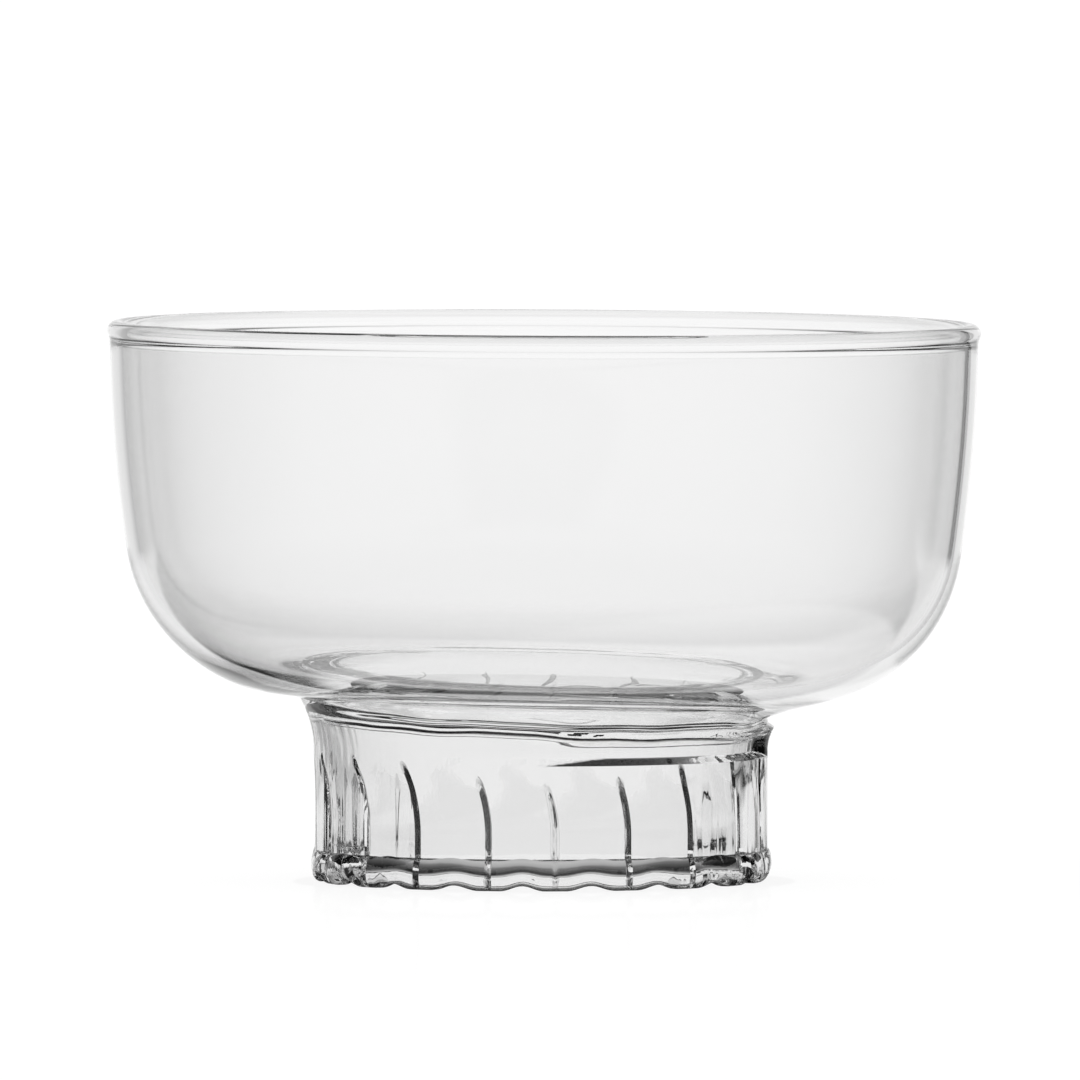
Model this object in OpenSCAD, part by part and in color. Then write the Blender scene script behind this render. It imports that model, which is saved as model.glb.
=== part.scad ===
/* [Overall] */
// Height from the table to the top of the rim
overall_h = 77; // [70:0.5:95]
// Diameter across the widest part of the rim
rim_d = 120; // [112:1:150]

/* [Vessel] */
// Thickness of the blown side wall
wall_t = 1.75; // [1.2:0.05:2.4]
// Thickness of the floor, where the foot is welded on
floor_t = 2.1; // [1.5:0.1:3.5]
// Radius of the gentle bulge of the side wall, seen from the side
side_r = 230; // [180:5:600]
// Radius of the turn from the side wall to the floor, on the outside
corner_r = 23.4; // [18:0.1:27]
// Angle by which the wall leans in just under the rim
rim_lean = 1; // [0.5:0.1:2.5]
// Radius of the fire-polished bead that ends the rim
rim_bead_r = 1.35; // [1.25:0.05:1.8]
// How far the rim bead stands out from the wall below it
rim_bead_out = 0.35; // [0.25:0.05:0.5]
// Radius of the hollow where the rim bead runs into the wall
rim_fillet_r = 1.2; // [0.5:0.1:2.5]

/* [Foot] */
// Height of the foot, from the table to the underside of the vessel
foot_h = 25; // [22:0.1:32]
// Diameter across the crests of the flutes
foot_d = 62.4; // [54:0.2:68]
// How far the neck flares out at the vessel, past the crests
flare_out = 2.05; // [1:0.05:3.2]
// Height over which the neck flares out
flare_h = 6.9; // [4.5:0.1:8]
// Thickness of the foot's wall at the crests
foot_t = 2.3; // [2.1:0.1:2.8]
// Height of the melted joint between the neck and the vessel
weld_h = 1.6; // [1:0.1:2.4]

/* [Flutes] */
// Number of flutes round the foot
flute_count = 19; // [12:1:24]
// How far the middle of a flute stands out past its two edges
flute_crown = 0.45; // [0.2:0.05:0.6]
// Depth of the groove pinched between the edges of two flutes
groove_depth = 1.15; // [0.4:0.05:1.2]
// Width of that groove at its mouth
groove_w = 0.9; // [0.6:0.1:1.6]
// Turn of the first groove, to the right of the front
flute_phase = 4.5; // [0:0.5:18]
// Angle by which the grooves sweep sideways at their top
flute_twist = 4.5; // [0:0.5:10]
// Height at which the grooves start to sweep
twist_from_h = 7.5; // [6:0.1:9]
// Height at which the flutes have faded into the neck
shoulder_h = 17.6; // [14:0.1:19]
// Height over which the flutes fade
fade_h = 4.2; // [2.5:0.1:5]

/* [Foot bead] */
// Height of the fire-polished bead that the bowl stands on
foot_bead_h = 4.3; // [3:0.1:5]
// Height of the widest part of that bead
foot_bead_mid_h = 2; // [1.2:0.1:2.4]
// Thickness of that bead, from the outside to the inside
foot_bead_t = 3.8; // [3.2:0.1:4]
// How far that bead stands out past the crests of the flutes
foot_bead_out = 0.5; // [0.1:0.05:0.9]
// Width of the flat that touches the table under each groove
pad_w = 1; // [0.6:0.1:1.6]
// Rise of the bead's underside between two grooves
scallop_h = 0.7; // [0.2:0.05:0.9]
// Share of the relief that is left where the bead turns under
bead_groove_share = 0.55; // [0:0.05:1]

/* [Hidden] */

$fn = 96;
glass = [0.86, 0.9, 0.91, 0.45];
glass_weld = [0.7, 0.76, 0.78, 0.6];
glass_foot = [0.8, 0.86, 0.88, 0.5];

// Steps along each curved stretch of an outline
bead_arc_steps = 20;
fillet_steps = 6;
side_steps = 14;
corner_steps = 24;
weld_steps = 6;

rim_r = rim_d / 2;
foot_r = foot_d / 2;

// The rim bead is a full round whose side reaches the rim's diameter and whose top reaches the height
bead_c = [rim_r - rim_bead_r, overall_h - rim_bead_r];
wall_out_r = rim_r - rim_bead_out;

// A hollow of radius f runs from an upright wall at radius x into the bead; side is 1 outside and -1 inside
function fillet_c(x, side, f) = let (cx = x + side * f, dx = cx - bead_c.x)
    [cx, bead_c.y - sqrt(pow(rim_bead_r + f, 2) - dx * dx)];
function arc(c, r, from, to, steps) = [for (i = [0:steps])
    let (a = from + (to - from) * i / steps) [c.x + r * cos(a), c.y + r * sin(a)]];

out_fillet_c = fillet_c(wall_out_r, 1, rim_fillet_r);
// The side wall is one shallow arc that starts where the outer hollow ends, leaning in by rim_lean
side_c = [wall_out_r - side_r * cos(rim_lean), out_fillet_c.y + side_r * sin(rim_lean)];
// The turn to the floor touches the side arc from inside and the floor from above
function corner_c(side_rad, turn_rad, floor_z) = let (cz = floor_z + turn_rad)
    [side_c.x + sqrt(pow(side_rad - turn_rad, 2) - pow(cz - side_c.y, 2)), cz];
function tilt(from, to) = atan2(to.y - from.y, to.x - from.x);

inner_side_r = side_r - wall_t;
inner_corner_r = corner_r - wall_t;
inner_floor_z = foot_h + floor_t;
out_corner_c = corner_c(side_r, corner_r, foot_h);
in_corner_c = corner_c(inner_side_r, inner_corner_r, inner_floor_z);
wall_in_r = side_c.x + sqrt(pow(inner_side_r, 2) - pow(out_fillet_c.y - side_c.y, 2));
in_fillet_c = fillet_c(wall_in_r, -1, rim_fillet_r);

vessel_outline = concat(
    [[0, foot_h]],
    arc(out_corner_c, corner_r, -90, tilt(side_c, out_corner_c), corner_steps),
    [for (p = arc(side_c, side_r, tilt(side_c, out_corner_c), -rim_lean, side_steps))
        if (p.y < out_fillet_c.y && p.y > out_corner_c.y + corner_r * sin(tilt(side_c, out_corner_c))) p],
    arc(out_fillet_c, rim_fillet_r, 180, tilt(out_fillet_c, bead_c), fillet_steps),
    arc(bead_c, rim_bead_r, tilt(bead_c, out_fillet_c), tilt(bead_c, in_fillet_c) + 360, bead_arc_steps),
    arc(in_fillet_c, rim_fillet_r, tilt(in_fillet_c, bead_c), 0, fillet_steps),
    [for (p = arc(side_c, inner_side_r, tilt(side_c, [wall_in_r, in_fillet_c.y]),
            tilt(side_c, in_corner_c), side_steps))
        if (p.y < in_fillet_c.y && p.y > in_corner_c.y + inner_corner_r * sin(tilt(side_c, in_corner_c))) p],
    arc(in_corner_c, inner_corner_r, tilt(side_c, in_corner_c), -90, corner_steps),
    [[0, inner_floor_z]]
);

// The neck's outer face: upright up to the flare, then a hollow arc that opens to flare_out at the vessel
flare_r = (flare_h * flare_h + flare_out * flare_out) / (2 * flare_out);
flare_from_h = foot_h - flare_h;
function flare(h) = let (d = max(0, h - flare_from_h)) flare_r - sqrt(flare_r * flare_r - d * d);
neck_top_h = foot_h - weld_h;
neck_in_r = foot_r + flare(neck_top_h) - foot_t;

// The vessel's underside: flat over the foot, then rising round the corner
function underside(r) = (r <= out_corner_c.x) ? foot_h
    : out_corner_c.y - sqrt(corner_r * corner_r - pow(r - out_corner_c.x, 2));

// The melted joint carries the flare up to the vessel's underside, and fills the corner inside the neck with
// a hollow whose edge on the underside is left a little blunt
weld_edge_share = 0.12;
weld_out_r = foot_r + flare_out;
weld_in_r = neck_in_r - weld_h;
weld_top_rs = [for (i = [0:weld_steps]) weld_out_r + (weld_in_r - weld_out_r) * i / weld_steps];
weld_outline = concat(
    [for (i = [0:weld_steps - 1]) let (h = neck_top_h + weld_h * i / weld_steps) [foot_r + flare(h), h]],
    [[weld_out_r, underside(weld_out_r)]],
    [for (r = weld_top_rs) if (r > out_corner_c.x && r < weld_out_r) [r, underside(r)]],
    [[weld_in_r, foot_h]],
    [for (i = [0:weld_steps])
        let (a = 90 * (1 - i / weld_steps), rise = (1 - weld_edge_share) * (1 - sin(a)))
        [weld_in_r + weld_h * cos(a), foot_h - weld_h * (weld_edge_share + rise)]]
);

// Places across one flute, as shares of its width: the groove's bottom, its edges, and points on the crown
flute_w = 2 * PI * foot_r / flute_count;
edge_share = groove_w / 2 / flute_w;
// Share of the flute's width, on each side of a groove, that the flat under it takes
pad_share = 0.16;
half_crown_shares = [0, edge_share, pad_share, 0.33];
flute_place_shares = concat(half_crown_shares, [0.5], [for (i = [3:-1:1]) 1 - half_crown_shares[i]]);
places = len(flute_place_shares);
ring_n = flute_count * places;

function smooth(t) = let (c = min(1, max(0, t))) c * c * (3 - 2 * c);
// How deep the skin lies under the crests at a place across a flute
function relief(p) = flute_crown * pow(2 * p - 1, 2)
    + groove_depth * max(0, 1 - min(p, 1 - p) / edge_share);
function scallop(p) = (p <= pad_share || p >= 1 - pad_share) ? 0
    : scallop_h * pow(sin(180 * (p - pad_share) / (1 - 2 * pad_share)), 2);
function fade(h) = (h < foot_bead_h) ? bead_groove_share + (1 - bead_groove_share) * smooth(h / foot_bead_h)
    : 1 - smooth((h - shoulder_h + fade_h) / fade_h);
function sweep(h) = let (t = max(0, h - twist_from_h) / (shoulder_h - twist_from_h)) flute_twist * t * t;
function lift(h, p) = scallop(p) * max(0, 1 - h / foot_bead_h);

// Each row of the foot's skin is [radius, height, share of the relief]. The inside stayed smooth, and under
// the bead the relief runs out before it reaches the flats.
bead_out_r = foot_r + foot_bead_out;
bead_in_r = bead_out_r - foot_bead_t;
pad_r = (bead_out_r + bead_in_r) / 2;
wall_in_foot_r = foot_r - foot_t;
round_steps = 3;
top_steps = 3;
sweep_steps = 7;
neck_steps = 3;

round_up = [for (i = [0:round_steps]) let (a = 90 * i / round_steps)
    [sin(a), foot_bead_mid_h * (1 - cos(a))]];
// Above its widest part the bead rounds over and meets the wall in a crease
narrow_up = [for (i = [1:top_steps]) let (a = 90 * i / top_steps)
    [1 - cos(a), foot_bead_mid_h + (foot_bead_h - foot_bead_mid_h) * sin(a)]];
wall_rows = concat(
    [for (i = [0:sweep_steps]) twist_from_h + (shoulder_h - twist_from_h) * i / sweep_steps],
    [for (i = [1:neck_steps]) shoulder_h + (neck_top_h - shoulder_h) * i / neck_steps]
);
pad_out_r = pad_r + pad_w / 2;
pad_in_r = pad_r - pad_w / 2;

outer_rows = concat(
    [for (s = round_up) [pad_out_r + (bead_out_r - pad_out_r) * s[0], s[1], s[0]]],
    [for (s = narrow_up) [bead_out_r + (foot_r - bead_out_r) * s[0], s[1], 1]],
    [for (h = wall_rows) [foot_r + flare(h), h, 1]]
);
inner_rows = concat(
    [for (s = round_up) [pad_in_r + (bead_in_r - pad_in_r) * s[0], s[1], 0]],
    [for (s = narrow_up) [bead_in_r + (wall_in_foot_r - bead_in_r) * s[0], s[1], 0]],
    [for (h = wall_rows) [foot_r + flare(h) - foot_t, h, 0]]
);
// Up the outside, across the top and down the inside; the last row meets the first under the bead
foot_rows = concat(outer_rows, [for (i = [len(inner_rows) - 1:-1:0]) inner_rows[i]]);

function skin_point(row, k) = let (
        p = flute_place_shares[k % places],
        a = flute_phase - 90 + 360 * (floor(k / places) + p) / flute_count - sweep(row[1]),
        r = row[0] - relief(p) * row[2] * fade(row[1])
    ) [r * cos(a), r * sin(a), row[1] + lift(row[1], p)];
foot_points = [for (row = foot_rows) for (k = [0:ring_n - 1]) skin_point(row, k)];
foot_faces = [for (i = [0:len(foot_rows) - 1]) for (k = [0:ring_n - 1])
    let (
        here = i * ring_n,
        above = ((i + 1) % len(foot_rows)) * ring_n,
        next = (k + 1) % ring_n
    )
    each [[here + k, above + k, above + next], [here + k, above + next, here + next]]];

// The blown vessel: one wall from the floor round the corner to the fire-polished rim
module vessel() {
    color(glass)
        rotate_extrude()
            polygon(vessel_outline);
}

// The ring of glass that melted where the foot was joined to the vessel
module weld_ring() {
    color(glass_weld)
        rotate_extrude()
            polygon(weld_outline);
}

// The fluted foot: an open tube whose grooves sweep and fade into the flared neck, on a scalloped bead
module fluted_foot() {
    color(glass_foot)
        polyhedron(foot_points, foot_faces, convexity = 8);
}

vessel();
weld_ring();
fluted_foot();
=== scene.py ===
# %% [markdown]
# # A glass bowl on a fluted foot
# The bowl is three pieces of clear glass that were melted together while hot: a blown vessel, a short
# fluted foot with an open bottom, and the thin ring of glass where the two were joined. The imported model
# has the same three solids. Here each one gets a finer mesh with the small faults of handwork, a glass
# finish, and a studio that shows clear glass the way a photographer does: white behind, dark all round.

import math

import bpy
import numpy as np
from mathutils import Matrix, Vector


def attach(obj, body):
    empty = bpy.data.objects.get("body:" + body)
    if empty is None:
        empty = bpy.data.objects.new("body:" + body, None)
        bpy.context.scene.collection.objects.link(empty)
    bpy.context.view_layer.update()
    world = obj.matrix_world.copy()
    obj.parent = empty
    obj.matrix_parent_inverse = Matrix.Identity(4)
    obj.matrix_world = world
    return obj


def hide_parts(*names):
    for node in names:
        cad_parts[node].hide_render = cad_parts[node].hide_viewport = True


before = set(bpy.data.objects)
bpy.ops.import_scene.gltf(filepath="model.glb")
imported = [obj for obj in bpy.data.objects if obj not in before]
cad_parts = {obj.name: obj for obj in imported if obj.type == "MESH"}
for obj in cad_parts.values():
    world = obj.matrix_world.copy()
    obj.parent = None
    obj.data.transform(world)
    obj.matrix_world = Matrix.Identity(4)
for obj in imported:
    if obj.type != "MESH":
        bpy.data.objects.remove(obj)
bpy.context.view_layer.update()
print("frame nodes:", sorted(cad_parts))

# %% [markdown]
# ## Sizes
# The sizes are the ones that the solids were drawn with, in millimetres, because that is how a glass worker
# would read them. Three things differ: the rim is a hair smaller, the hollows under its bead are rounder,
# and the inside of the neck flares less and ends in a hollow. Blender works in metres, so each mesh is
# scaled by MM as its points are placed.

# %% Sizes of the vessel and its rim
MM = 0.001
OVERALL_H = 77.0
RIM_R = 59.97
WALL_T = 1.75
FLOOR_T = 2.1
SIDE_R = 230.0
CORNER_R = 23.4
RIM_LEAN = 1.0
RIM_BEAD_R = 1.35
RIM_BEAD_OUT = 0.35
RIM_FILLET_R = 2.2

# %% Sizes of the foot and the weld
FOOT_H = 25.0
FOOT_R = 31.2
FLARE_OUT = 2.05
FLARE_H = 6.9
FOOT_T = 2.3
WELD_H = 1.6
INNER_FLARE_SHARE = 0.54
INNER_FILLET_R = 2.0
FOOT_BEAD_H = 4.3
FOOT_BEAD_MID_H = 2.0
FOOT_BEAD_T = 3.8
FOOT_BEAD_OUT = 0.5
PAD_W = 1.0

# %% Sizes of the flutes
FLUTES = 19
FLUTE_CROWN = 0.45
GROOVE_DEPTH = 1.15
GROOVE_W = 0.9
GROOVE_ROUND = 0.02
FLUTE_PHASE = 4.5
FLUTE_TWIST = 4.5
TWIST_FROM_H = 7.5
SHOULDER_H = 17.6
FADE_H = 4.2
SCALLOP_H = 0.7
PAD_SHARE = 0.16
BEAD_GROOVE_SHARE = 0.55

# %% [markdown]
# ## The vessel's outline
# A blown vessel is round, so one half of its section, turned about the upright axis, gives the whole wall.
# The section is drawn with arcs: the turn from the floor to the side, the side's shallow bulge, the hollow
# under the rim, and the round bead that the flame leaves on the rim.

# %% Arcs for the outlines
def arc(centre, radius, start, end, steps):
    """Points on an arc, from one angle to another, in degrees."""
    angles = [math.radians(start + (end - start) * i / steps) for i in range(steps + 1)]
    return [(centre[0] + radius * math.cos(a), centre[1] + radius * math.sin(a)) for a in angles]


def tilt(start, end):
    """The angle of the line from one point to another, in degrees."""
    return math.degrees(math.atan2(end[1] - start[1], end[0] - start[0]))


def smooth(t):
    """0 up to t = 0, 1 from t = 1, and an even rise between them."""
    t = np.clip(t, 0.0, 1.0)
    return t * t * (3 - 2 * t)


def rise(value, start, over):
    """0 at start and 1 after a stretch, which is negative where the rise is towards smaller values."""
    return smooth((value - start) / over)


# %% Centres of the vessel's arcs
bead_c = (RIM_R - RIM_BEAD_R, OVERALL_H - RIM_BEAD_R)
wall_out_r = RIM_R - RIM_BEAD_OUT


def fillet_c(wall_r, side):
    """The centre of the hollow between an upright wall and the rim bead; side is 1 outside and -1 inside."""
    x = wall_r + side * RIM_FILLET_R
    return (x, bead_c[1] - math.sqrt((RIM_BEAD_R + RIM_FILLET_R) ** 2 - (x - bead_c[0]) ** 2))


def corner_c(side_rad, turn_rad, floor_z):
    """The centre of the turn that touches the side's arc from inside and the floor from above."""
    z = floor_z + turn_rad
    return (side_c[0] + math.sqrt((side_rad - turn_rad) ** 2 - (z - side_c[1]) ** 2), z)


out_fillet_c = fillet_c(wall_out_r, 1)
lean = math.radians(RIM_LEAN)
side_c = (wall_out_r - SIDE_R * math.cos(lean), out_fillet_c[1] + SIDE_R * math.sin(lean))
inner_side_r = SIDE_R - WALL_T
inner_corner_r = CORNER_R - WALL_T
inner_floor_z = FOOT_H + FLOOR_T
out_corner_c = corner_c(SIDE_R, CORNER_R, FOOT_H)
in_corner_c = corner_c(inner_side_r, inner_corner_r, inner_floor_z)
wall_in_r = side_c[0] + math.sqrt(inner_side_r ** 2 - (out_fillet_c[1] - side_c[1]) ** 2)
in_fillet_c = fillet_c(wall_in_r, -1)
print("turn to the floor, outside and inside:", out_corner_c, in_corner_c)

# %% The neck, the weld and the rings that pieces share
flare_r = (FLARE_H ** 2 + FLARE_OUT ** 2) / (2 * FLARE_OUT)


def flare(h):
    """How far the neck stands out past the flutes at a height."""
    above = max(0.0, h - (FOOT_H - FLARE_H))
    return flare_r - math.sqrt(flare_r ** 2 - above * above)


def neck_inside(h):
    """The radius of the neck's inner face: it flares less than the outer one and ends in a hollow."""
    start = FOOT_H - INNER_FILLET_R
    side = FOOT_R - FOOT_T + INNER_FLARE_SHARE * flare(min(h, start))
    return side - INNER_FILLET_R + math.sqrt(INNER_FILLET_R ** 2 - max(0.0, h - start) ** 2)


neck_top_h = FOOT_H - WELD_H
neck_out_r = FOOT_R + flare(neck_top_h)
neck_in_r = neck_inside(neck_top_h)
weld_out_r = FOOT_R + FLARE_OUT
weld_in_r = neck_inside(FOOT_H)
WELD_TOP_STEPS = 5
weld_top_rs = [weld_in_r + (weld_out_r - weld_in_r) * i / WELD_TOP_STEPS for i in range(WELD_TOP_STEPS + 1)]
print("weld ring from", round(weld_in_r, 2), "to", round(weld_out_r, 2), "mm")

# %% The section of the vessel, from the middle of its underside round the rim to the middle of its floor
SIDE_STEPS = 18
CORNER_STEPS = 26
FILLET_STEPS = 8
BEAD_STEPS = 26
FLOOR_RS = [0.0, 6.0, 12.0, 18.0, 23.0]
out_turn = tilt(side_c, out_corner_c)
in_turn = tilt(side_c, in_corner_c)
in_top = tilt(side_c, (wall_in_r, in_fillet_c[1]))
vessel_section = (
    [(r, FOOT_H) for r in FLOOR_RS]
    + [(r, FOOT_H) for r in weld_top_rs]
    + arc(out_corner_c, CORNER_R, -90, out_turn, CORNER_STEPS)
    + arc(side_c, SIDE_R, out_turn, -RIM_LEAN, SIDE_STEPS)[1:-1]
    + arc(out_fillet_c, RIM_FILLET_R, 180, tilt(out_fillet_c, bead_c), FILLET_STEPS)
    + arc(bead_c, RIM_BEAD_R, tilt(bead_c, out_fillet_c), tilt(bead_c, in_fillet_c) + 360, BEAD_STEPS)[1:]
    + arc(in_fillet_c, RIM_FILLET_R, tilt(in_fillet_c, bead_c), 0, FILLET_STEPS)[1:]
    + arc(side_c, inner_side_r, in_top, in_turn, SIDE_STEPS)[1:-1]
    + arc(in_corner_c, inner_corner_r, in_turn, -90, CORNER_STEPS)
    + [(r, inner_floor_z) for r in reversed(FLOOR_RS)]
)
print("vessel section:", len(vessel_section), "points")

# %% The section of the weld ring
WELD_STEPS = 8
weld_hs = [neck_top_h + WELD_H * i / WELD_STEPS for i in range(WELD_STEPS)]
hollow_c = (weld_in_r, FOOT_H - INNER_FILLET_R)
weld_section = (
    [(FOOT_R + flare(h), h) for h in weld_hs]
    + [(r, FOOT_H) for r in reversed(weld_top_rs)]
    + arc(hollow_c, INNER_FILLET_R, 90, tilt(hollow_c, (neck_in_r, neck_top_h)), WELD_STEPS)[1:]
)
weld_section.append(weld_section[0])
print("weld section:", len(weld_section), "points")

# %% The section of the foot, up the outside, across the top and down the inside
BEAD_QUARTER_STEPS = 8
# The wall's rows of points: from one height to the next, and how many; closest where grooves and lobes end
WALL_ROWS = [(FOOT_BEAD_H, 13.4, 14), (13.4, 16.8, 9), (16.8, 18.8, 14), (18.8, neck_top_h, 12)]
bead_out_r = FOOT_R + FOOT_BEAD_OUT
bead_in_r = bead_out_r - FOOT_BEAD_T
pad_r = (bead_out_r + bead_in_r) / 2


def foot_side(pad_edge, bead_edge, wall):
    """One side of the foot's section, from the table to the top of the neck; wall gives the radius above."""
    turns = [math.radians(90 * i / BEAD_QUARTER_STEPS) for i in range(BEAD_QUARTER_STEPS + 1)]
    rows = [(pad_edge + (bead_edge - pad_edge) * math.sin(a), FOOT_BEAD_MID_H * (1 - math.cos(a)))
            for a in turns]
    rows += [(bead_edge + (wall(FOOT_BEAD_H) - bead_edge) * (1 - math.cos(a)),
              FOOT_BEAD_MID_H + (FOOT_BEAD_H - FOOT_BEAD_MID_H) * math.sin(a)) for a in turns[1:]]
    heights = []
    for start, end, steps in WALL_ROWS:
        heights += [start + (end - start) * i / steps for i in range(1, steps + 1)]
    return rows + [(wall(h), h) for h in heights]


foot_outer = foot_side(pad_r + PAD_W / 2, bead_out_r, lambda h: FOOT_R + flare(h))
foot_inner = foot_side(pad_r - PAD_W / 2, bead_in_r, neck_inside)
foot_section = foot_outer + foot_inner[::-1] + [foot_outer[0]]
print("foot section:", len(foot_section), "points")

# %% [markdown]
# ## Turning a section into a piece
# The section starts as one point, which is extruded from place to place as a pen would draw it, and then
# spun once round the upright axis. The first and last copies, and the copies at the axis, are merged, so
# the wall is closed, and the normals are then made to point outwards. All pieces take the same number of
# steps, so that the rings where two pieces meet have the same points.

# %% Draw and spin a section
SPIN_STEPS = 570
MERGE = 2e-6


def draw_section(name, points):
    """A chain of edges through the points, which are (radius, height) in millimetres."""
    bpy.ops.object.select_all(action="DESELECT")
    bpy.ops.mesh.primitive_plane_add(size=MM, location=(0, 0, 0))
    piece = bpy.context.object
    piece.name = piece.data.name = name
    bpy.ops.object.mode_set(mode="EDIT")
    bpy.ops.mesh.select_all(action="SELECT")
    bpy.ops.mesh.merge(type="CENTER")
    bpy.ops.transform.translate(value=(points[0][0] * MM, 0, points[0][1] * MM))
    for here, there in zip(points, points[1:]):
        step = ((there[0] - here[0]) * MM, 0, (there[1] - here[1]) * MM)
        bpy.ops.mesh.extrude_region_move(TRANSFORM_OT_translate={"value": step})
    return piece


def spin_section(name, points):
    """The closed piece that the section makes when it is turned once round the axis."""
    piece = draw_section(name, points)
    bpy.ops.object.mode_set(mode="OBJECT")
    bpy.ops.object.modifier_add(type="SCREW")
    turn = piece.modifiers[-1]
    turn.axis, turn.angle, turn.screw_offset = "Z", math.tau, 0.0
    turn.steps = turn.render_steps = SPIN_STEPS
    turn.use_merge_vertices, turn.merge_threshold = True, MERGE
    bpy.ops.object.modifier_apply(modifier=turn.name)
    bpy.ops.object.mode_set(mode="EDIT")
    bpy.ops.mesh.select_all(action="SELECT")
    bpy.ops.mesh.remove_doubles(threshold=MERGE)
    bpy.ops.mesh.normals_make_consistent(inside=False)
    bpy.ops.object.mode_set(mode="OBJECT")
    print(name, "has", len(piece.data.polygons), "faces")
    return piece


vessel = spin_section("blown_vessel", vessel_section)
weld = spin_section("melted_weld_ring", weld_section)
foot = spin_section("fluted_foot_glass", foot_section)

# %% [markdown]
# ## The welded faces
# Where two pieces were melted together there is no surface left in real glass, and light goes straight
# through. The pieces stay closed and apart here, so the faces that touch are found by their place now,
# while the rings are still flat, and later get a finish that light doesn't see.

# %% Find the faces where the pieces meet
# How far a face may lie from the height asked for, in millimetres, and how upright its normal is at least
LEVEL_WITHIN = 0.01
UPRIGHT = 0.99


def mark_welded(piece, height, inner, outer):
    """Gives the second material slot to the flat faces of a ring at that height."""
    count = 0
    for face in piece.data.polygons:
        radius = math.hypot(face.center.x, face.center.y) / MM
        level = abs(face.center.z / MM - height) < LEVEL_WITHIN and abs(face.normal.z) > UPRIGHT
        if level and inner < radius < outer:
            face.material_index = 1
            count += 1
    print(piece.name, "has", count, "welded faces at", round(height, 2), "mm")


mark_welded(vessel, FOOT_H, weld_in_r, weld_out_r)
mark_welded(weld, FOOT_H, weld_in_r, weld_out_r)
mark_welded(weld, neck_top_h, neck_in_r, neck_out_r)
mark_welded(foot, neck_top_h, neck_in_r, neck_out_r)

# %% [markdown]
# ## The flutes
# The foot was blown into a ribbed mould, so its wall has wide, softly rounded lobes with pinched grooves
# between them. The grooves sweep sideways at their top, where the glass was twisted as it was joined, and
# fade into the neck. Cutting them would need a blade for each, so the points of the spun tube are moved by
# a formula instead: towards the nearest groove, so that the grooves get the finest faces, and inwards by
# the groove's depth.

# %% Points of a mesh as an array, in millimetres
def read_points(piece):
    flat = np.empty(len(piece.data.vertices) * 3)
    piece.data.vertices.foreach_get("co", flat)
    return flat.reshape(-1, 3) / MM


def write_points(piece, points):
    piece.data.vertices.foreach_set("co", (points * MM).astype(np.float32).ravel())
    piece.data.update()


# %% The flutes' form
# How far each groove is from an even spacing, in degrees, and how deep it is, as a share of the full depth
GROOVE_OFFSETS = [-0.9, -0.7, -0.9, -0.5, -2.5, -1.0, -0.5, -0.1, -0.8, 2.5,
                  2.6, 2.5, 1.8, 1.5, 1.6, 1.7, 1.9, 0.4, 1.2]
GROOVE_SHARES = [0.4, 1.05, 1.05, 1.0, 1.0, 0.9, 0.85, 0.9, 0.8, 0.7,
                 0.8, 0.9, 0.9, 0.9, 1.0, 1.0, 1.0, 1.0, 1.05]
# The height at which each groove ends
GROOVE_TOPS = [15.5, 16.0, 17.8, 18.2, 18.4, 17.0, 13.0, 11.5, 11.5, 11.5,
               11.5, 11.5, 11.5, 13.0, 17.0, 18.4, 18.4, 18.0, 16.0]
GROOVE_FADE = 3.5
# How sharply a groove's sides bend in, and how much the points gather at the grooves
GROOVE_POWER = 1.25
GATHER = 0.93
lobe_deg = 360 / FLUTES
lobe_w = 2 * math.pi * FOOT_R / FLUTES


def crown_relief(across):
    """How far the skin lies under the crest of a lobe: 0 in the middle, the full crown at its edges."""
    return FLUTE_CROWN * (1 - 2 * across) ** 2


def groove_relief(across):
    """The pinched groove between two lobes, with a slightly rounded bottom."""
    away = np.minimum(across, 1 - across) * lobe_w
    away = np.sqrt(away * away + GROOVE_ROUND ** 2) - GROOVE_ROUND
    return GROOVE_DEPTH * np.clip(1 - away / (GROOVE_W / 2), 0, 1) ** GROOVE_POWER


def fade(h, top=SHOULDER_H, length=FADE_H):
    """How much of the relief is left at a height: it runs out under the bead and into the neck."""
    low = BEAD_GROOVE_SHARE + (1 - BEAD_GROOVE_SHARE) * smooth(h / FOOT_BEAD_H)
    low = low * np.sqrt(1 - np.clip(1 - h / FOOT_BEAD_MID_H, 0, 1) ** 2)
    return np.where(h < FOOT_BEAD_H, low, 1 - smooth((h - top + length) / length))


def bead_profile(h, bead_edge, wall_r):
    """The radius of the section's upper half of the bead at a height."""
    up = np.clip((h - FOOT_BEAD_MID_H) / (FOOT_BEAD_H - FOOT_BEAD_MID_H), 0, 1)
    return bead_edge + (wall_r - bead_edge) * (1 - np.sqrt(1 - up * up))


def sweep(h):
    """How far the grooves have turned at a height, in degrees."""
    t = np.maximum(0.0, h - TWIST_FROM_H) / (SHOULDER_H - TWIST_FROM_H)
    return FLUTE_TWIST * t * t


def between_grooves(values, lobe, across):
    """The values of the grooves at both ends of each point's lobe, mixed by its place across the lobe."""
    values = np.array(values)
    start, end = values[lobe % FLUTES], values[(lobe + 1) % FLUTES]
    return start + (end - start) * across


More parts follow.
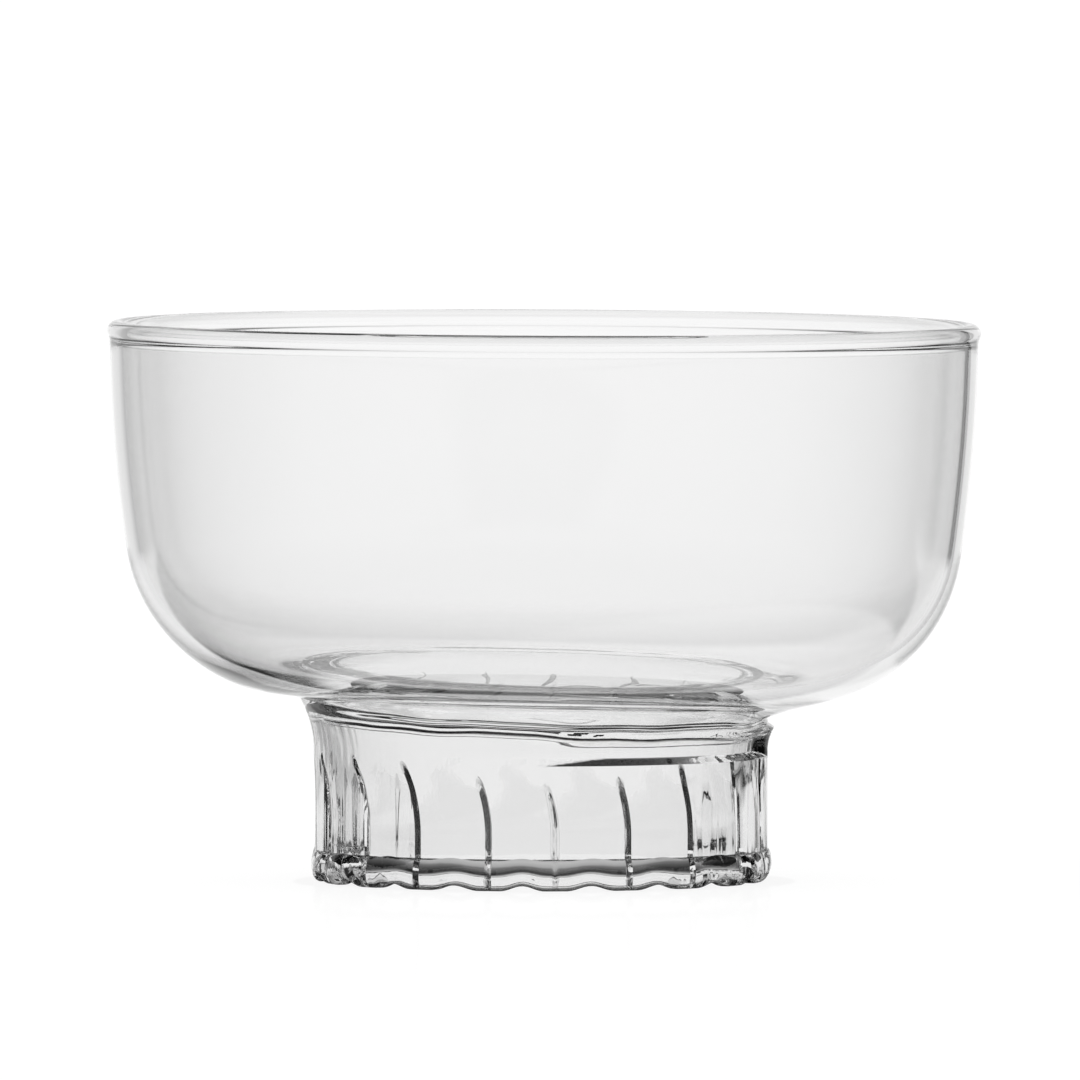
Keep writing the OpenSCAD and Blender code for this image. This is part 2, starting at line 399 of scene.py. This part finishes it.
# %% Gather the foot's points at the grooves and turn them with the sweep
# Each point has a lobe, and a place across it from 0 to 1, first evenly spread and then gathered. A nudge
# keeps points that lie on a groove in its lobe. The neck undoes the moves, up to its last stretch
NUDGE = 1e-4
NECK_STRAIGHT = 0.5
x, y, h = read_points(foot).T
radius = np.hypot(x, y)
turn = (np.degrees(np.arctan2(y, x)) + 90 - FLUTE_PHASE) / lobe_deg
lobe = np.floor(turn + NUDGE).astype(int)
even = np.clip(turn - lobe, 0.0, 1.0)
across = even - GATHER * np.sin(2 * np.pi * even) / (2 * np.pi)
kept = 1 - smooth((h - SHOULDER_H) / (neck_top_h - NECK_STRAIGHT - SHOULDER_H))
offsets = between_grooves(GROOVE_OFFSETS, lobe, across)
moved = (lobe + across) * lobe_deg + offsets - sweep(np.minimum(h, SHOULDER_H))
angle = np.radians((lobe + even) * lobe_deg * (1 - kept) + moved * kept + FLUTE_PHASE - 90)

# %% Press the grooves into its outside
wall_middle_r = FOOT_R - FOOT_T / 2
middle_r = np.interp(h, [0, FOOT_BEAD_H], [pad_r, wall_middle_r])
outside = radius > middle_r + np.array([flare(v) for v in h])
groove_left = fade(h, between_grooves(GROOVE_TOPS, lobe, across), GROOVE_FADE)
groove_left = groove_left * between_grooves(GROOVE_SHARES, lobe, across)
radius = radius - outside * (crown_relief(across) * fade(h) + groove_relief(across) * groove_left)
print("grooves", FLUTES, "lobe width", round(lobe_w, 2), "mm")

# %% Soften the bead at the back, where it runs smoothly into the wall, inside and outside
# Its softness at the sides, and the swing of that to the front and the back
BACK_SHARE, BACK_SWING = 0.2, 1.2
# How many millimetres the bead takes to run out, and the height at which that is over
SOFT_OVER = 4.5
SOFT_TOP_H = 7
behind = smooth(BACK_SHARE - BACK_SWING * np.cos(angle + np.pi / 2))
soft = 1 - smooth((h - FOOT_BEAD_MID_H) / SOFT_OVER)
wall_r = np.where(outside, FOOT_R, FOOT_R - FOOT_T)
bead_edge = np.where(outside, bead_out_r, bead_in_r)
soft_r = wall_r + (bead_edge - wall_r) * soft
softened = behind * (soft_r - bead_profile(h, bead_edge, wall_r))
radius += np.where((h > FOOT_BEAD_MID_H) & (h < SOFT_TOP_H), softened, 0)

# %% Lift the bead into a scallop, with a faint wave of the crease over it
CREASE_WAVE = 0.35
WAVE_MIDDLE = 0.4
# Where the wave comes in and goes out: a height, and how many millimetres it takes
WAVE_IN = (3, 1.2)
WAVE_OUT = (FOOT_BEAD_H, 1.5)
scallop = np.sin(np.pi * np.clip((across - PAD_SHARE) / (1 - 2 * PAD_SHARE), 0, 1)) ** 2
lift = SCALLOP_H * scallop * np.maximum(0.0, 1 - h / FOOT_BEAD_H)
lift += CREASE_WAVE * outside * (scallop - WAVE_MIDDLE) * rise(h, *WAVE_IN) * (1 - rise(h, *WAVE_OUT))
h = np.maximum(h + lift, 0)
write_points(foot, np.column_stack([radius * np.cos(angle), radius * np.sin(angle), h]))
print("the bead is lifted by up to", round(float(lift.max()), 2), "mm")

# %% [markdown]
# ## The marks of handwork
# The real bowl isn't a perfect turned shape. The hot floor sagged a little to one side as the foot was
# pressed on, and hangs lower at the front of the joint. The tool that shaped the joint left a notch round
# its outside. On the right the lobes end in a ledge under a narrower neck, while on the left they only run
# out. The rim runs a fraction of a degree out of level. One rule moves the points of all three pieces, so
# the welded faces stay together. Each pair below is a place, in millimetres unless it says otherwise, and
# how far on the mark is at its full size.

# %% The notch in the joint, round the front and the right, and a deeper one at the right
JOINT_NOTCH = 0.93
# It is deepest this many degrees round from the right to the front. Then come its share a quarter turn from
# there, and the swing of that
NOTCH_TURN = 55
NOTCH_SHARE, NOTCH_SWING = 0.5, 0.9
NOTCH_UP = (23.75, 1.25)
NOTCH_OUTER_R = 36
SIDE_NOTCH = 1.6
# This one is in cosines of the angle from the right
SIDE_NOTCH_TURN = (0.75, 0.2)
SIDE_NOTCH_UP = (22.6, 1.0)
# Both end just over the vessel's underside, and so does the drop of the joint
JOINT_TOP = (26.2, -0.6)


def notch_depth(turn, r, z):
    """How far the outside of the joint lies in at each point."""
    notch = JOINT_NOTCH * smooth(NOTCH_SHARE + NOTCH_SWING * np.cos(turn + np.radians(NOTCH_TURN)))
    notch = notch * rise(z, *NOTCH_UP)
    notch += SIDE_NOTCH * rise(np.cos(turn), *SIDE_NOTCH_TURN) * rise(z, *SIDE_NOTCH_UP)
    return notch * rise(z, *JOINT_TOP) * np.interp(r, [weld_in_r, weld_out_r, NOTCH_OUTER_R], [0, 1, 0])


# %% The ledge over the lobes
# Both ends in degrees to the right of the front; then its height, depth, and steps in for each step up
LEDGE_START = (-2.0, 20)
LEDGE_END = (88.0, -12)
LEDGE_H, LEDGE_DEPTH, LEDGE_SLOPE = 17.1, 1.5, 1.6
LEDGE_FADE = (20.7, 4.3)


def ledge_depth(turn, r, z):
    """How far the neck over the ledge lies in: the full depth outside, and nothing at its inner face."""
    front = np.degrees(turn) + 90
    ledge = LEDGE_DEPTH * rise(front, *LEDGE_START) * rise(front, *LEDGE_END)
    ledge = np.minimum(ledge, LEDGE_SLOPE * np.maximum(z - LEDGE_H, 0)) * (1 - rise(z, *LEDGE_FADE))
    flared = np.array([flare(v) for v in np.clip(z, 0, FOOT_H)])
    return ledge * np.clip((r - FOOT_R - flared) / FOOT_T + 1, 0, 1)


# %% The sag of the floor, the drop of the joint and the slope of the rim
SAG_SLOPE, SAG_NEAR_FOOT = 0.0166, 0.015
SAG_IN = (42, -9)
SAG_DOWN = (60, -32)
SAG_UP = (17, 7)
RIM_SLOPE = 0.0045
RIM_UP = (50, 22)
# The drop in the middle, what is added at LEAN_R to the front, and where it starts
JOINT_DROP, JOINT_LEAN, LEAN_R = 1.22, 1.54, 32
JOINT_IN = (36.5, -6.4)
JOINT_UP_FROM, JOINT_UP_OVER = 18.2, 6.6
# Waves of the joint round the axis: size, how many, and where they start
JOINT_WAVES = [(0.10, 7, 1.3), (0.07, 12, 4.0), (0.05, 19, 0.0)]
JOINT_WAVES_OUT = (22, 5)


def lift_by_hand(turn, x, y, r, z):
    """How far each point moves up, which is mostly down."""
    sag = (SAG_SLOPE + SAG_NEAR_FOOT * rise(r, *SAG_IN)) * rise(z, *SAG_DOWN)
    sag = sag * rise(z, *SAG_UP)
    joint = rise(r, *JOINT_IN) * rise(z, *JOINT_TOP) * np.clip((z - JOINT_UP_FROM) / JOINT_UP_OVER, 0, 1)
    drop = JOINT_DROP - JOINT_LEAN * y / LEAN_R
    wave = sum(size * np.sin(count * turn + start) for size, count, start in JOINT_WAVES)
    lift = -x * sag - (RIM_SLOPE * x + RIM_SLOPE * RIM_R) * rise(z, *RIM_UP)
    return lift + joint * (wave * rise(r, *JOINT_WAVES_OUT) - drop)


# %% Bend all three pieces alike, and set the foot a little to the left
FOOT_SHIFT = 0.44
SHIFT_DOWN = (30, -8)
# Nearer to the axis than this, in millimetres, nothing is drawn in
AXIS_R = 1


def by_hand(points):
    """The place of each point on the hand-worked bowl."""
    x, y, z = points.T
    r = np.hypot(x, y)
    turn = np.arctan2(y, x)
    inward = notch_depth(turn, r, z) + ledge_depth(turn, r, z)
    left = 1 - inward / np.maximum(r, AXIS_R)
    x, y, r = x * left, y * left, r - inward
    lift = lift_by_hand(turn, x, y, r, z)
    return np.column_stack([x - FOOT_SHIFT * rise(z, *SHIFT_DOWN), y, z + lift])


for piece in (vessel, weld, foot):
    straight = read_points(piece)
    bent = by_hand(straight)
    write_points(piece, bent)
    print(piece.name, "moves by up to", round(float(np.abs(bent - straight).max()), 2), "mm")

# %% Shade the pieces smooth, with creases kept
CREASE = 40
for piece in (vessel, weld, foot):
    bpy.ops.object.select_all(action="DESELECT")
    piece.select_set(True)
    bpy.context.view_layer.objects.active = piece
    bpy.ops.object.shade_smooth_by_angle(angle=math.radians(CREASE))

# %% [markdown]
# ## Shader sums as plain sums
# A small class wraps a node's output, so that shader maths can be written like ordinary maths.

# %% The wire class
class Wire:
    """One output of a node, which can stand in a sum like a number."""

    def __init__(self, tree, socket=None):
        self.tree, self.socket = tree, socket

    def node(self, kind, settings=None, inputs=None, output=0):
        """Adds a node: its settings first, then the values or wires of its sockets."""
        made = self.tree.nodes.new(kind)
        for name, value in (settings or {}).items():
            setattr(made, name, value)
        for name, value in (inputs or {}).items():
            if isinstance(value, Wire):
                self.tree.links.new(value.socket, made.inputs[name])
            else:
                made.inputs[name].default_value = value
        return Wire(self.tree, made.outputs[output] if len(made.outputs) else None)

    def maths(self, operation, first, second=0.0):
        return self.node("ShaderNodeMath", {"operation": operation}, {0: first, 1: second})

    def __add__(self, other):
        return self.maths("ADD", self, other)

    __radd__ = __add__

    def __sub__(self, other):
        return self.maths("SUBTRACT", self, other)

    def __rsub__(self, other):
        return self.maths("SUBTRACT", other, self)

    def __mul__(self, other):
        return self.maths("MULTIPLY", self, other)

    __rmul__ = __mul__

    def vector_maths(self, operation, *values, output="Value"):
        return self.node("ShaderNodeVectorMath", {"operation": operation}, dict(enumerate(values)), output)

    def axes(self):
        """The x, y and z of a vector."""
        split = self.node("ShaderNodeSeparateXYZ", None, {"Vector": self})
        return [Wire(self.tree, out) for out in split.socket.node.outputs]

    def ramp(self, along, stops):
        """A row of levels, read at a place from 0 to 1."""
        made = self.node("ShaderNodeValToRGB", None, {"Fac": along})
        row = made.socket.node.color_ramp.elements
        while len(row) < len(stops):
            row.new(1.0)
        for stop, (place, level) in zip(row, stops):
            stop.position, stop.color = place, (level, level, level, 1.0)
        return made

    def larger(self, other):
        return self.maths("MAXIMUM", self, other)

    def fall(self, start, end):
        """1 up to start, 0 from end, and an even fall between them."""
        return self.node("ShaderNodeMapRange", {"interpolation_type": "SMOOTHSTEP"},
                         {"Value": self, "From Min": start, "From Max": end, "To Min": 1.0, "To Max": 0.0})


def new_finish(name):
    """An empty material and a wire to build it with."""
    material = bpy.data.materials.new(name)
    material.use_nodes = True
    material.node_tree.nodes.clear()
    return material, Wire(material.node_tree)


# %% [markdown]
# ## Clear glass
# The glass is clear and colourless, with a refractive index of about 1.47. What a photograph of it shows is
# almost all light that comes through. The only finish on top of that is very slight: streaks in the glass,
# which bend the light a little, and a trace of softness where the fire has smoothed it less.

# %% The glass finish
GLASS_IOR = 1.47
GLASS_SOFT = 0.004
STREAK_DETAIL = 2.0


def glass_finish(name, tint, streaks, depth, stretch):
    """A clear glass with faint streaks: their scale, their depth in metres, and the scale of each axis."""
    material, wire = new_finish(name)
    place = wire.node("ShaderNodeTexCoord", output="Object")
    place = wire.node("ShaderNodeMapping", None, {"Vector": place, "Scale": stretch})
    streak = wire.node("ShaderNodeTexNoise", None,
                       {"Vector": place, "Scale": streaks, "Detail": STREAK_DETAIL})
    bump = wire.node("ShaderNodeBump", None, {"Height": streak, "Strength": 1.0, "Distance": depth})
    glass = wire.node("ShaderNodeBsdfPrincipled", None, {
        "Base Color": (tint, tint, tint, 1.0), "IOR": GLASS_IOR, "Transmission Weight": 1.0,
        "Roughness": GLASS_SOFT * streak, "Normal": bump})
    wire.node("ShaderNodeOutputMaterial", None, {"Surface": glass})
    return material


def welded_finish():
    """The faces inside the weld, which light doesn't see."""
    material, wire = new_finish("welded_face")
    clear = wire.node("ShaderNodeBsdfPrincipled", None, {"Alpha": 0.0, "Roughness": 0.0, "IOR": GLASS_IOR})
    wire.node("ShaderNodeOutputMaterial", None, {"Surface": clear})
    return material


welded = welded_finish()
finishes = {
    vessel: glass_finish("clear_blown_glass", tint=0.998, streaks=30.0, depth=2e-6, stretch=(1, 1, 3)),
    weld: glass_finish("clear_melted_glass", tint=0.96, streaks=120.0, depth=2e-5, stretch=(1, 1, 2)),
    foot: glass_finish("clear_moulded_glass", tint=0.96, streaks=350.0, depth=1e-4, stretch=(1, 1, 0.08)),
}
for piece, finish in finishes.items():
    piece.data.materials.append(finish)
    piece.data.materials.append(welded)
    print(piece.name, "is", finish.name)

# %% The pieces take the places of the solids
for piece, node, slot in ((vessel, "vessel", "vessel_glass"), (weld, "weld_ring", "weld_glass"),
                          (foot, "fluted_foot", "foot_glass")):
    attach(piece, "root")
    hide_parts(node)
    print(piece.name, "stands for", node)

# %% [markdown]
# ## The camera
# The rim shows as a thin ellipse and the foot's bottom as a slightly deeper one, which puts the camera low
# and far away with a long lens: about four metres off and a little above the rim.

# %% The camera
CAMERA_DISTANCE = 4.0
CAMERA_H = 0.20
AIM_H = 0.0468
AIM_X = -0.00055
FIELD = 0.1483
SENSOR = 36.0
CLIP_END = 100.0
aim = Vector((AIM_X, 0.0, AIM_H))
stand = Vector((AIM_X, -CAMERA_DISTANCE, CAMERA_H))
bpy.ops.object.camera_add(location=stand)
camera = bpy.context.object
camera.name = "studio_camera"
camera.rotation_euler = (aim - stand).to_track_quat("-Z", "Y").to_euler()
camera.data.sensor_width = SENSOR
camera.data.lens = SENSOR * (aim - stand).length / FIELD
camera.data.clip_end = CLIP_END
bpy.context.scene.camera = camera
print("lens", round(camera.data.lens), "mm")

# %% [markdown]
# ## The studio
# Clear glass shows only what it bends into view. The studio is white behind the bowl, and dark above, at
# the sides and round the camera, with a few grey and black strips between. It hangs on the camera, as if
# the bowl stood on a turntable in front of one white wall. Light that goes through the glass or bounces off
# it sees this dome; the floor is lit by an even sky.

# %% Helpers for the studio
def finish_with_glow(material, wire, light):
    """Ends a material as a glow of that brightness, which is seen and isn't searched for as a lamp is."""
    glow = wire.node("ShaderNodeEmission", None, {"Strength": light})
    wire.node("ShaderNodeOutputMaterial", None, {"Surface": glow})
    material.cycles.emission_sampling = "NONE"
    return material


def hide_from(body, *rays):
    """Takes a body of the studio out of the way of some kinds of ray."""
    for ray in rays:
        setattr(body, "visible_" + ray, False)
    print(body.name, "is hidden from", ", ".join(rays), "rays")


def level_sheet(name, size, z):
    """A level square with its middle under the bowl."""
    bpy.ops.object.select_all(action="DESELECT")
    bpy.ops.mesh.primitive_plane_add(size=size, location=(0, 0, z))
    bpy.context.object.name = name
    return bpy.context.object


# %% The dome round the bowl
DOME_R = 30.0
DOME_SEGMENTS, DOME_RINGS = 64, 32
# Light round the bowl at its own level: degrees to the right of the way the camera looks, and brightness
ROUND_LIGHT = [(-180, 0.27), (-140, 0.27), (-100, 0.02), (-48, 0.03), (-42, 0.28), (-38, 0.46),
               (-26, 0.42), (-22, 0.75), (-12, 0.75), (-9, 1.0), (9, 1.0), (12, 0.72), (21, 0.76),
               (22.5, 0.02), (25, 0.02), (27, 0.5), (36, 0.55), (44, 0.02), (85, 0.02), (110, 0.27),
               (180, 0.27)]
# Share of it that is left above and below that level: degrees up, and share
HEIGHT_LIGHT = [(-90, 0.0), (-75, 0.02), (-66, 0.45), (-58, 0.8), (-46, 0.8), (-38, 0.3), (-33, 0.12),
                (-25, 0.12), (-21, 0.85), (-10, 0.92), (-4, 1.0), (27, 1.0), (33, 0.5), (38, 0.05),
                (90, 0.03)]
# The corners of the white wall are dark: it fades from the first angle to the second, beside the middle and
# away from its level
BESIDE = (26, 42)
STEEP = (10, 28)
DARK = 0.01


def dome_finish():
    material, wire = new_finish("studio_dome_light")
    way = wire.node("ShaderNodeTexCoord", output="Object")
    right, up, back = wire.vector_maths("NORMALIZE", way, output="Vector").axes()
    round_deg = math.degrees(1) * wire.maths("ARCTAN2", right, 0.0 - back)
    round_share = 0.5 + (1 / 360) * round_deg
    up_deg = math.degrees(1) * wire.maths("ARCSINE", up)
    wall = wire.ramp(round_share, [((deg + 180) / 360, level) for deg, level in ROUND_LIGHT])
    left = wire.ramp(0.5 + (1 / 180) * up_deg, [((deg + 90) / 180, share) for deg, share in HEIGHT_LIGHT])
    beside = wire.maths("ABSOLUTE", round_deg).fall(*BESIDE)
    steep = wire.maths("ABSOLUTE", up_deg).fall(*STEEP)
    corner = (1 - beside) * (1 - steep)
    return finish_with_glow(material, wire, (wall * left * (1 - corner)).larger(DARK))


bpy.ops.object.select_all(action="DESELECT")
bpy.ops.mesh.primitive_uv_sphere_add(segments=DOME_SEGMENTS, ring_count=DOME_RINGS, radius=DOME_R)
dome = bpy.context.object
dome.name = "studio_dome"
dome.parent = camera
dome.location = (0, 0, -CAMERA_DISTANCE)
bpy.ops.object.shade_smooth()
dome.data.materials.append(dome_finish())
hide_from(dome, "camera", "diffuse", "shadow")

# %% [markdown]
# ## The table
# The table is one plain pale sheet. The camera sees it glow evenly, and the bowl's mirror image in it is all
# but lost in the glow.

# %% The table top
FLOOR_SIZE = 60
FLOOR_Z = -0.00005
FLOOR_GLOW = 0.95
FLOOR_GREY = 0.13
# The share of it that mirrors, and how softly
FLOOR_GLOSS = 0.06
GLOSS_SOFT = 0.04


def floor_finish():
    material, wire = new_finish("pale_table_top")
    glow = wire.node("ShaderNodeEmission", None, {"Strength": FLOOR_GLOW})
    matt = wire.node("ShaderNodeBsdfDiffuse", None, {"Color": (FLOOR_GREY, FLOOR_GREY, FLOOR_GREY, 1.0)})
    both = wire.node("ShaderNodeAddShader", None, {0: glow, 1: matt})
    gloss = wire.node("ShaderNodeBsdfGlossy", None, {"Roughness": GLOSS_SOFT})
    top = wire.node("ShaderNodeMixShader", None, {0: FLOOR_GLOSS, 1: both, 2: gloss})
    wire.node("ShaderNodeOutputMaterial", None, {"Surface": top})
    material.cycles.emission_sampling = "NONE"
    return material


floor = level_sheet("pale_table", FLOOR_SIZE, FLOOR_Z)
floor.data.materials.append(floor_finish())
hide_from(floor, "diffuse", "glossy", "transmission")

# %% [markdown]
# ## The table as the glass sees it
# A real table is brighter in some places than in others, and clear glass shows that much more strongly than
# the table itself does. So light that comes through the glass meets glowing sheets of its own, a hair over
# the floor: a painted pool of light in a fan behind the bowl, and painted shade inside the foot. Both turn
# with the camera, as the studio does.

# %% Turn a sheet with the camera
def turn_to_camera(sheet):
    """Keeps a sheet's own -Y side towards the camera, while it stays level."""
    bpy.ops.object.select_all(action="DESELECT")
    sheet.select_set(True)
    bpy.context.view_layer.objects.active = sheet
    bpy.ops.object.constraint_add(type="LOCKED_TRACK")
    turn = sheet.constraints[-1]
    turn.target, turn.track_axis, turn.lock_axis = camera, "TRACK_NEGATIVE_Y", "LOCK_Z"


# %% The painted pool of light on the table behind the bowl
TABLE_Z = -0.00002
TABLE_GLOW = 0.93
TABLE_DARK = 0.03
# It glows bright near the bowl and in a fan behind it as painted light, both more to the right, dim
# elsewhere, and ends softly further out. Each pair is where that starts to fade and where it is gone, in
# metres, or in degrees for the fan
TABLE_NEAR = (0.066, 0.076)
TABLE_NEAR_C = (0.03, 0.0, 0.0)
TABLE_FAN = (52.5, 57.5)
FAN_TURN = 5.5
TABLE_FADE = (0.25, 0.42)


def table_finish():
    material, wire = new_finish("lit_table")
    place = wire.node("ShaderNodeTexCoord", output="Object")
    away = wire.vector_maths("LENGTH", place)
    right, back = place.axes()[:2]
    side_deg = math.degrees(1) * wire.maths("ARCTAN2", right, back)
    fan = wire.maths("ABSOLUTE", side_deg - FAN_TURN).fall(*TABLE_FAN)
    near = wire.vector_maths("DISTANCE", place, TABLE_NEAR_C)
    # The glow is painted light: a bright pool near the bowl and in the fan, dim elsewhere
    light = TABLE_DARK + (TABLE_GLOW - TABLE_DARK) * fan.larger(near.fall(*TABLE_NEAR))
    glow = wire.node("ShaderNodeEmission", None, {"Strength": light})
    clear = wire.node("ShaderNodeBsdfTransparent")
    table = wire.node("ShaderNodeMixShader", None, {0: away.fall(*TABLE_FADE), 1: clear, 2: glow})
    wire.node("ShaderNodeOutputMaterial", None, {"Surface": table})
    material.cycles.emission_sampling = "NONE"
    return material


table = level_sheet("lit_table", 2 * TABLE_FADE[1], TABLE_Z)
table.data.materials.append(table_finish())
hide_from(table, "camera", "diffuse", "glossy", "shadow")
turn_to_camera(table)

# %% The painted shade on the table inside the foot
SHADE_R = 0.0345
SHADE_SIDES = 96
SHADE_Z = -0.00001
# Where the foot touches the table the glow is a painted contact shadow: the radii between which it fades,
# and the rest
CONTACT = (0.0265, 0.0285)
CONTACT_SHARE = 0.04
# Painted shade of the table under the bowl, as a glow level: millimetres away from the camera, and level
SHADE_LIGHT = [(-34.5, 0.5), (-21, 0.55), (-17, 0.42), (-14.7, 0.19), (-12, 0.1), (-8, 0.03),
               (-5, 0.005), (-2, 0.03), (3, 0.2), (10, 0.5), (34.5, 0.6)]


# A glowing disc whose dark parts are painted shade: the bowl's shadow on the table, darkest a little towards
# the camera from the middle and at the ring where the foot stands
def shade_finish():
    material, wire = new_finish("painted_shade_under_bowl")
    place = wire.node("ShaderNodeTexCoord", output="Object")
    back = place.axes()[1]
    inside = wire.vector_maths("LENGTH", place).fall(*CONTACT)
    stops = [((mm * MM / SHADE_R + 1) / 2, level) for mm, level in SHADE_LIGHT]
    light = wire.ramp(0.5 + (0.5 / SHADE_R) * back, stops)
    return finish_with_glow(material, wire, light * (CONTACT_SHARE + (1 - CONTACT_SHARE) * inside))


bpy.ops.object.select_all(action="DESELECT")
bpy.ops.mesh.primitive_circle_add(vertices=SHADE_SIDES, radius=SHADE_R, fill_type="NGON",
                                  location=(0, 0, SHADE_Z))
shade = bpy.context.object
shade.name = "painted_shade_under_bowl"
shade.data.materials.append(shade_finish())
hide_from(shade, "camera", "diffuse", "shadow")
turn_to_camera(shade)

# %% [markdown]
# ## The plain sheet for raised views
# The two sheets above are set for a level look at the bowl. Seen from above, their dark parts would lie
# open inside the foot, so an evenly lit sheet spreads over them as the camera rises. In a level look it is
# a mere speck.

# %% The plain sheet for raised views
# The camera's tilt in degrees, 90 for level, where the sheet starts to spread and where it is full size, and
# its share of that size before
SPREAD_TILT = (84.0, 80.0)
SPREAD_NONE = 0.00001
PLAIN_SIZE = 8.0
PLAIN_Z = -0.000004
plain = level_sheet("plain_lit_table", PLAIN_SIZE, PLAIN_Z)
plain.data.materials.append(finish_with_glow(*new_finish("plain_lit_table"), TABLE_GLOW))
hide_from(plain, "camera", "diffuse", "glossy", "shadow")
bpy.ops.object.constraint_add(type="TRANSFORM")
spread = plain.constraints[-1]
spread.target, spread.map_from, spread.map_to = camera, "ROTATION", "SCALE"
spread.map_to_x_from = spread.map_to_y_from = spread.map_to_z_from = "X"
spread.from_max_x_rot, spread.from_min_x_rot = [math.radians(degrees) for degrees in SPREAD_TILT]
spread.to_min_x_scale = spread.to_min_y_scale = spread.to_min_z_scale = 1.0
spread.to_max_x_scale = spread.to_max_y_scale = spread.to_max_z_scale = SPREAD_NONE

# %% [markdown]
# ## The sky, and the ways of light
# An even white sky stands behind everything, and lights the table. Light passes through many faces of glass
# before it leaves the bowl again, so it is followed for more bounces than usual.

# %% The even sky, a touch brighter for the table than it looks
SKY = 1.08
world = bpy.data.worlds.new("even_sky")
bpy.context.scene.world = world
world.use_nodes = True
world.node_tree.nodes.clear()
sky = Wire(world.node_tree)
seen = sky.node("ShaderNodeLightPath", output="Is Camera Ray")
backdrop = sky.node("ShaderNodeBackground", None, {"Strength": SKY + (1 - SKY) * seen})
sky.node("ShaderNodeOutputWorld", None, {"Surface": backdrop})

# %% Settings that clear glass needs
BOUNCES = 32
GLOSSY_BOUNCES = 16
scene = bpy.context.scene
scene.view_settings.view_transform = "Standard"
scene.cycles.max_bounces = BOUNCES
scene.cycles.transmission_bounces = BOUNCES
scene.cycles.glossy_bounces = GLOSSY_BOUNCES
scene.cycles.transparent_max_bounces = BOUNCES
